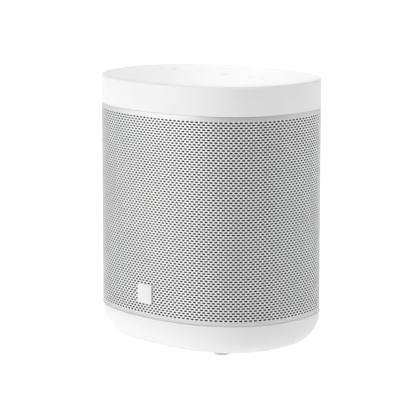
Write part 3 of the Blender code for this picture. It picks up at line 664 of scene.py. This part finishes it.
def make_cover():
    """The white cap: a slightly crowned top, a rounded rim, a plain band and a softened lower edge."""
    crown = 0.35 * MM
    rim = 1.7 * MM
    lip = 0.35 * MM
    ceiling = HEIGHT - 2.6 * MM
    corner = 1.4 * MM
    mic_hole_radius = 0.6 * MM
    mic_hole_depth = 5 * MM
    crowning = ((40, 0.05), (24, 0.1), (10, 0.22))  # inset and drop, in mm
    top = [(inset * MM, HEIGHT - drop * MM) for inset, drop in crowning]
    rounding = [(rim - x, HEIGHT - crown - rim + z) for x, z in arc((0, 0), rim, 90, 0, 10)]
    edge = [(lip - x, GRILLE_TOP + lip + z) for x, z in arc((0, 0), lip, 0, -90, 4)]
    inside = [
        (TONGUE_INSET, GRILLE_TOP),
        (TONGUE_INSET, GRILLE_TOP - TONGUE),
        (WALL_INSET, GRILLE_TOP - TONGUE),
        (WALL_INSET, ceiling - corner),
        (WALL_INSET + corner, ceiling),
    ]
    mesh = oval_solid("top_cap", top + rounding + edge + inside)
    places = [plan_middle("microphone_boot_left"), plan_middle("microphone_boot_right")]
    holes = cylinder_mesh(
        "mic_holes", places, mic_hole_radius, HEIGHT - mic_hole_depth, HEIGHT + 2 * PAST, segments=24
    )
    mesh = combined("top_cap", mesh, [("DIFFERENCE", holes)])
    cap = finish_mesh(piece_from("top_cap", mesh, "white_plastic"), angle=30)
    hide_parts("top_cover")


def base_rings(floor):
    """The bowl's rings in three lists: up the outside, round the lip, and down the inside to the floor."""
    underside = BASE_LOW.z
    rise = GRILLE_BOTTOM - underside
    rounding = 13.5 * MM
    lip = 0.3 * MM
    inner_rounding = 11.5 * MM
    wall_top = 17.0 * MM
    outside = []
    for angle in np.radians(np.linspace(90, 0, 25)):
        outside.append((rounding * (1 - math.cos(angle)), underside + rise * (1 - math.sin(angle))))
    outside[-1] = (0.0, GRILLE_BOTTOM - lip)
    edge = [(lip - x, GRILLE_BOTTOM - lip + z) for x, z in arc((0, 0), lip, 0, 90, 4)][1:]
    inside = [
        (TONGUE_INSET, GRILLE_BOTTOM),
        (TONGUE_INSET, GRILLE_BOTTOM + TONGUE),
        (WALL_INSET, GRILLE_BOTTOM + TONGUE),
    ]
    for angle in np.radians(np.linspace(0, 90, 9)):
        inset = WALL_INSET + inner_rounding * (1 - math.cos(angle))
        inside.append((inset, floor + (wall_top - floor) * (1 - math.sin(angle))))
    return outside, edge, inside


def make_base():
    """The white bowl, with posts for its screws, pockets for its feet, and a tube round the socket's hole."""
    floor = 3.4 * MM
    outside, edge, inside = base_rings(floor)
    mesh = oval_solid("base_bowl", outside + edge + inside)

    names = [f"foot_{name}" for name in ("front_left", "front_right", "rear_left", "rear_right")]
    places = [plan_middle(name) for name in names]
    low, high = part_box(names[0])
    foot_radius = (high.x - low.x) / 2
    post_radius = 4.0 * MM
    post_start = floor - 0.7 * MM
    pocket_radius = foot_radius + 0.4 * MM
    pocket_top = BASE_LOW.z + 0.8 * MM
    head_radius = 2.9 * MM
    head_seat = 15.0 * MM
    shank_radius = 1.5 * MM
    shank_start = 10.0 * MM
    posts = cylinder_mesh("posts", places, post_radius, post_start, BASE_HIGH.z, segments=32)
    pockets = cylinder_mesh("pockets", places, pocket_radius, -PAST, pocket_top)
    bores = cylinder_mesh("bores", places, head_radius, -PAST, head_seat, segments=32)
    holes = cylinder_mesh(
        "holes", places, shank_radius, shank_start, BASE_HIGH.z + 2 * PAST, segments=24
    )

    low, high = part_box("power_jack")
    centre = [(0.0, (low.z + high.z) / 2)]
    boss_radius = 7.0 * MM
    boss_start = high.y + 0.2 * MM
    boss_end = high.y + 7 * MM
    trim_inset = 0.5 * MM
    hole_start = 38 * MM  # in the space behind the wall
    hole_end = 60 * MM  # outside the body
    mouth_start = HALF_DEPTH - 5.2 * MM
    mouth_flare = 4.0 * MM
    boss = cylinder_mesh("socket_boss", centre, boss_radius, boss_start, boss_end, axis="Y", segments=64)
    trim = oval_solid("boss_trim", [(inset + trim_inset, z) for inset, z in outside])
    boss = combined("socket_boss", boss, [("INTERSECT", trim)])
    hole = cylinder_mesh(
        "socket_hole", centre, SOCKET_HOLE_RADIUS, hole_start, hole_end, axis="Y", segments=64
    )
    mouth = cylinder_mesh(
        "socket_mouth", centre, SOCKET_HOLE_RADIUS, mouth_start, HALF_DEPTH, axis="Y", segments=64,
        flare=mouth_flare,
    )
    steps = [("UNION", tool) for tool in (posts, boss)]
    steps += [("DIFFERENCE", tool) for tool in (pockets, bores, holes, hole, mouth)]
    mesh = combined("base_bowl", mesh, steps)
    bowl = finish_mesh(piece_from("base_bowl", mesh, "white_plastic"), angle=30)
    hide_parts("base_shell")


def make_feet():
    """Round rubber pads with a rounded lower edge and a shallow ring on the face."""
    edge = 0.8 * MM
    groove_depth = 0.25 * MM
    groove_slope = 0.2 * MM
    for name in ("front_left", "front_right", "rear_left", "rear_right"):
        low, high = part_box(f"foot_{name}")
        radius = (high.x - low.x) / 2
        face = radius - 0.7 * MM
        groove_outer = face - 1.2 * MM
        groove_inner = face - 2.1 * MM
        profile = [(0.0, high.z), (radius, high.z), (radius, high.z - 0.4 * MM)]
        profile += [(face - edge + x, edge + z) for x, z in arc((0, 0), edge, 20, -90, 8)]
        profile += [
            (groove_outer, 0.0),
            (groove_outer - groove_slope, groove_depth),
            (groove_inner + groove_slope, groove_depth),
            (groove_inner, 0.0),
            (0.0, 0.0),
        ]
        foot = piece_from(f"rubber_foot_{name}", turned_mesh("rubber_foot", profile, 64), "foot_rubber")
        foot.data.transform(Matrix.Translation((*plan_middle(f"foot_{name}"), 0.0)))
        finish_mesh(foot)
        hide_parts(f"foot_{name}")


def make_badge():
    """A blank square plate with rounded corners and a softened edge, lying on the sleeve."""
    low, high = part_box("badge_plate")
    corner = 0.35 * MM
    edge = 0.15 * MM
    back = -(HALF_DEPTH - SLEEVE_INSET) - 0.01 * MM  # just clear of the sleeve
    size = Vector((high.x - low.x, back - low.y, high.z - low.z))
    middle = Vector(((low.x + high.x) / 2, (low.y + back) / 2, (low.z + high.z) / 2))
    bm = bmesh.new()
    place = Matrix.Translation(middle) @ Matrix.Diagonal((*size, 1.0))
    bmesh.ops.create_cube(bm, size=1.0, matrix=place)
    upright = [e for e in bm.edges if abs(e.verts[0].co.y - e.verts[1].co.y) > size.y / 2]
    bmesh.ops.bevel(bm, geom=upright, offset=corner, segments=5, affect="EDGES", profile=0.5)
    front = [e for e in bm.edges if all(abs(v.co.y - low.y) < 0.001 * MM for v in e.verts)]
    bmesh.ops.bevel(bm, geom=front, offset=edge, segments=3, affect="EDGES", profile=0.5)
    badge = finish_mesh(piece_from("blank_badge", mesh_from(bm, "blank_badge"), "badge_plastic"))
    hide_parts("badge_plate")


# ---------------------------------------------------------------- power socket


def make_jack():
    """A moulded socket: a softened box, a round collar that fills the shell's hole, and a flared bore."""
    low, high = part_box("power_jack")
    middle = (low + high) / 2
    bm = bmesh.new()
    place = Matrix.Translation(middle) @ Matrix.Diagonal((*(high - low), 1.0))
    bmesh.ops.create_cube(bm, size=1.0, matrix=place)
    bmesh.ops.bevel(bm, geom=bm.edges[:], offset=0.4 * MM, segments=3, affect="EDGES", profile=0.5)
    box = mesh_from(bm, "jack_box")
    centre = [(middle.x, middle.z)]
    front = high.y
    collar_radius = SOCKET_HOLE_RADIUS - 0.2 * MM
    bore_radius = 2.9 * MM
    bore_depth = 9.5 * MM
    flare_radius = 2.8 * MM
    flare_depth = 0.6 * MM
    collar = cylinder_mesh(
        "jack_collar", centre, collar_radius, front - 2.0 * MM, front, axis="Y", segments=64
    )
    bore = cylinder_mesh("jack_bore", centre, bore_radius, front - bore_depth, front + PAST, axis="Y")
    flare = cylinder_mesh(
        "jack_flare", centre, flare_radius, front - flare_depth, front + 0.2 * MM, axis="Y", flare=1.0 * MM
    )
    mesh = combined("dc_jack", box, [("UNION", collar), ("DIFFERENCE", bore), ("DIFFERENCE", flare)])
    jack = finish_mesh(piece_from("dc_jack", mesh, "black_plastic"), angle=30)
    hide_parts("power_jack")


# ---------------------------------------------------------------- driver suspension


def turned_sector(name, outline, axis_height, back, start, end, steps):
    """The closed outline of (radius, height) in mm, turned about the driver's axis from start to end degrees.

    Height 0 is at the depth called back, and heights grow towards the front."""
    count = len(outline)
    points = []
    for angle in np.radians(np.linspace(start, end, steps + 1)):
        for radius, height in outline:
            x = radius * MM * math.cos(angle)
            z = axis_height + radius * MM * math.sin(angle)
            points.append((x, back - height * MM, z))
    faces = [list(range(count)), list(range(steps * count, (steps + 1) * count))]
    for step in range(steps):
        for i in range(count):
            here = step * count + i
            after = step * count + (i + 1) % count
            faces.append([here, after, after + count, here + count])
    mesh = bpy.data.meshes.new(name)
    mesh.from_pydata(points, [], faces)
    face_out(mesh)
    return mesh


def make_suspension(name, node, slot, outline, back, fixed_radius, sectors):
    """A ring in even sectors, each lying between the cone assembly inside and the housing outside.

    The outline is in mm. The fixed radius is not used."""
    low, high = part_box(node)
    axis_height = (low.z + high.z) / 2
    span = 360 / sectors
    steps = RING_STEPS // sectors
    fixed_radius *= math.cos(math.radians(span / 2))
    for number in range(sectors):
        start = number * span
        mesh = turned_sector(f"{name}_{number + 1}", outline, axis_height, back, start, start + span, steps)
        mesh.materials.append(MATERIALS[slot])
        piece = finish_mesh(add_object(mesh.name, mesh), angle=40)
        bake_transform(piece)
    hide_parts(node)


def make_surround():
    """A half roll of rubber between the basket's rim and the cone. Sizes in mm."""
    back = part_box("driver_surround")[1].y
    rim_edge = 29.3
    rim_thickness = 0.6
    roll_edge = 28.1
    roll_middle = 26.2
    cone_edge = 21.6
    cone_side = 0.8
    cone_face = 1.3
    under = arc((roll_middle, 0.7), 1.8, 0, 180, 12)
    over = arc((roll_middle, rim_thickness), 2.3, 160, 0, 14)
    outline = [(rim_edge, rim_thickness), (rim_edge, 0.0), (roll_edge, 0.0)] + under
    outline += [(24.2, cone_side), (cone_edge, cone_side), (cone_edge, cone_face), (23.6, cone_face)] + over
    make_suspension(
        "surround", "driver_surround", "black_rubber", outline, back,
        fixed_radius=roll_edge, sectors=16,
    )


def make_spider():
    """A disc of treated cloth pressed into ripples, between the coil former and the basket. Sizes in mm."""
    low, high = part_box("driver_spider")
    inner = 8.2
    outer = 21.2
    rim = 1.6
    ripples = 4
    height = 0.8
    thickness = 0.36
    top = []
    for radius in np.linspace(inner, outer, 61).tolist():
        share = (radius - inner - rim) / (outer - inner - 2 * rim)
        ripple = height * math.sin(2 * math.pi * ripples * share) if 0 < share < 1 else 0.0
        top.append((radius, ripple + thickness / 2))
    outline = top + [(radius, level - thickness) for radius, level in reversed(top)]
    make_suspension(
        "spider", "driver_spider", "spider_cloth", outline, (low.y + high.y) / 2,
        fixed_radius=19.8, sectors=8,
    )


# ---------------------------------------------------------------- soft pads


def make_pad(name, node, slot, radius, crown, ripple):
    """A soft block in its CAD box: rounded, thinner towards its edges, and a little uneven."""
    low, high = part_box(node)
    middle = (low + high) / 2
    half = (high - low) / 2
    bm = bmesh.new()
    bmesh.ops.create_cube(bm, size=2.0)
    bmesh.ops.subdivide_edges(bm, edges=bm.edges[:], cuts=PAD_CUTS, use_grid_fill=True)
    core = Vector([max(h - radius, 0.0) for h in half])
    thin = min(range(3), key=lambda axis: half[axis])
    wide = [axis for axis in range(3) if axis != thin]
    for vert in bm.verts:
        share = vert.co.copy()
        point = Vector([s * h for s, h in zip(share, half)])
        inside = Vector([max(-c, min(c, p)) for p, c in zip(point, core)])
        out = point - inside
        point = inside + out.normalized() * min(radius, min(half)) if out.length > 0 else point
        bulge = math.prod(1 - share[axis] ** 4 for axis in wide)
        wave = math.prod(math.sin(PAD_WAVES * share[axis] + axis) for axis in wide)
        point[thin] *= 1 - crown * (1 - bulge) - ripple * (0.5 + 0.5 * wave)
        vert.co = middle + point
    pad = finish_mesh(piece_from(name, mesh_from(bm, name), slot), angle=60)
    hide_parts(node)


# ---------------------------------------------------------------- touch marks


def mark_mesh(name, strokes, loops):
    """Flat marks: strokes are bars between two points, and loops are closed outlines. Sizes in mm."""
    bm = bmesh.new()
    half = MARK_THICKNESS / 2
    for (x0, y0), (x1, y1) in strokes:
        along = Vector((x1 - x0, y1 - y0, 0.0))
        length = along.length + MARK_STROKE
        turn = Matrix.Rotation(math.atan2(along.y, along.x), 4, "Z")
        middle = Vector(((x0 + x1) / 2, (y0 + y1) / 2, 0.0)) * MM
        size = Matrix.Diagonal((length * MM, MARK_STROKE * MM, MARK_THICKNESS * MM, 1.0))
        bmesh.ops.create_cube(bm, size=1.0, matrix=Matrix.Translation(middle) @ turn @ size)
    for outline in loops:
        outline = [Vector(point) for point in outline]
        rows = []
        for before, here, after in zip(outline[-1:] + outline[:-1], outline, outline[1:] + outline[:1]):
            across = (after - before).normalized().orthogonal() * MARK_STROKE / 2
            rows.append([
                bm.verts.new((Vector((*(here + across * side), 0.0)) + Vector((0, 0, lift))) * MM)
                for side, lift in ((-1, -half), (1, -half), (1, half), (-1, half))
            ])
        for row, following in zip(rows, rows[1:] + rows[:1]):
            for i in range(4):
                bm.faces.new([row[i], row[(i + 1) % 4], following[(i + 1) % 4], following[i]])
    bmesh.ops.recalc_face_normals(bm, faces=bm.faces)
    return mesh_from(bm, name)


def make_touch_marks():
    """Four small printed marks along the top: microphone off, quieter, play and pause, louder."""
    capsule = arc((0.0, 0.9), 0.75, 0, 180, 8) + arc((0.0, -0.2), 0.75, 180, 360, 8)
    marks = {
        "touch_mark_microphone": (
            [((0.0, -1.75), (0.0, -2.3)), ((-0.8, -2.3), (0.8, -2.3)), ((-2.0, 2.2), (2.0, -2.2))],
            [capsule],
        ),
        "touch_mark_minus": ([((-1.8, 0.0), (1.8, 0.0))], []),
        "touch_mark_play": (
            [((-2.1, 1.5), (-2.1, -1.5)), ((-2.1, 1.5), (0.2, 0.0)), ((-2.1, -1.5), (0.2, 0.0)),
             ((1.1, 1.5), (1.1, -1.5)), ((2.1, 1.5), (2.1, -1.5))],
            [],
        ),
        "touch_mark_plus": ([((-1.8, 0.0), (1.8, 0.0)), ((0.0, -1.8), (0.0, 1.8))], []),
    }
    spacing = 20.0 * MM
    row_x = -3.1 * MM
    row_y = 4.7 * MM
    for number, (name, (strokes, loops)) in enumerate(marks.items()):
        mesh = mark_mesh(name, strokes, loops)
        x = row_x + (number - 1.5) * spacing
        mesh.transform(Matrix.Translation((x, row_y, HEIGHT - MARK_THICKNESS / 2 * MM)))
        piece_from(name, mesh, "white_plastic", MARK_INK)


# ---------------------------------------------------------------- studio


def place_facing(obj, azimuth, elevation, distance):
    """Puts a camera or light at a distance from the body's middle, facing it.

    Azimuth 0 is in front of the body, and 90 is on its +X side."""
    a = math.radians(azimuth)
    e = math.radians(elevation)
    back = Vector((math.sin(a) * math.cos(e), -math.cos(a) * math.cos(e), math.sin(e)))
    obj.location = Vector((0, 0, 0.5 * HEIGHT)) + back * distance
    obj.rotation_euler = back.to_track_quat("Z", "Y").to_euler()


def make_camera():
    """The camera looks at the body's middle from between the front and +X, a little above it."""
    camera = bpy.data.cameras.new("camera")
    camera.sensor_width = 36.0
    camera.lens = 192.1
    camera.shift_x = -0.0056
    camera.shift_y = -0.0049
    camera.clip_start = 0.05
    camera.clip_end = 60.0
    obj = add_object("camera", camera)
    place_facing(obj, azimuth=44.7, elevation=9.79, distance=1.26375)
    bpy.context.scene.camera = obj


def make_floor():
    """A wide pale floor that turns up at its rim. It glows, less near the body than far from it."""
    level = -0.05 * MM
    glow_near = 0.68
    glow_far = 1.08
    near = 0.8
    far = 2.4
    profile = [(0.0, level), (8.0, level), (8.5, 0.08), (8.8, 0.25), (8.9, 0.65)]
    mesh = turned_mesh("floor", profile, 96)
    floor = add_object("floor", mesh)
    material, nodes, links, shader = new_material("pale_floor")
    shader.inputs["Base Color"].default_value = (0.45, 0.45, 0.45, 1.0)
    shader.inputs["Roughness"].default_value = 0.9
    shader.inputs["Emission Color"].default_value = (1.0, 1.0, 1.0, 1.0)
    reach = nodes.new("ShaderNodeVectorMath")
    reach.operation = "LENGTH"
    links.new(place_nodes(nodes, links), reach.inputs[0])
    glow = nodes.new("ShaderNodeMapRange")
    glow.interpolation_type = "SMOOTHSTEP"
    glow.inputs["From Min"].default_value = near
    glow.inputs["From Max"].default_value = far
    glow.inputs["To Min"].default_value = glow_near
    glow.inputs["To Max"].default_value = glow_far
    links.new(reach.outputs["Value"], glow.inputs["Value"])
    links.new(glow.outputs["Result"], shader.inputs["Emission Strength"])
    mesh.materials.append(material)


def make_studio():
    """A weak white world, the floor and the softboxes. The display gamma stands for the photo's contrast."""
    bpy.context.scene.view_settings.view_transform = "Standard"
    bpy.context.scene.view_settings.gamma = 0.84
    world = bpy.data.worlds.new("studio")
    bpy.context.scene.world = world
    world.use_nodes = True
    background = world.node_tree.nodes["Background"]
    background.inputs["Color"].default_value = (1.0, 1.0, 1.0, 1.0)
    background.inputs["Strength"].default_value = 0.08
    make_floor()
    for azimuth, elevation, watts in SOFTBOXES:
        light = bpy.data.lights.new(f"softbox_{azimuth}_{elevation}", "AREA")
        light.size = SOFTBOX_SIZE
        light.energy = watts
        place_facing(add_object(light.name, light), azimuth, elevation, SOFTBOX_DISTANCE)


make_camera()
make_studio()
make_sleeve()
make_cloth()
make_cover()
make_base()
make_feet()
make_badge()
make_touch_marks()
make_jack()
make_surround()
make_spider()
make_pad("wadding_pad", "damping_pad", "grey_foam", radius=4 * MM, crown=0.3, ripple=0.08)
make_pad("heat_pad", "thermal_pad", "grey_foam", radius=0.3 * MM, crown=0.1, ripple=0.02)
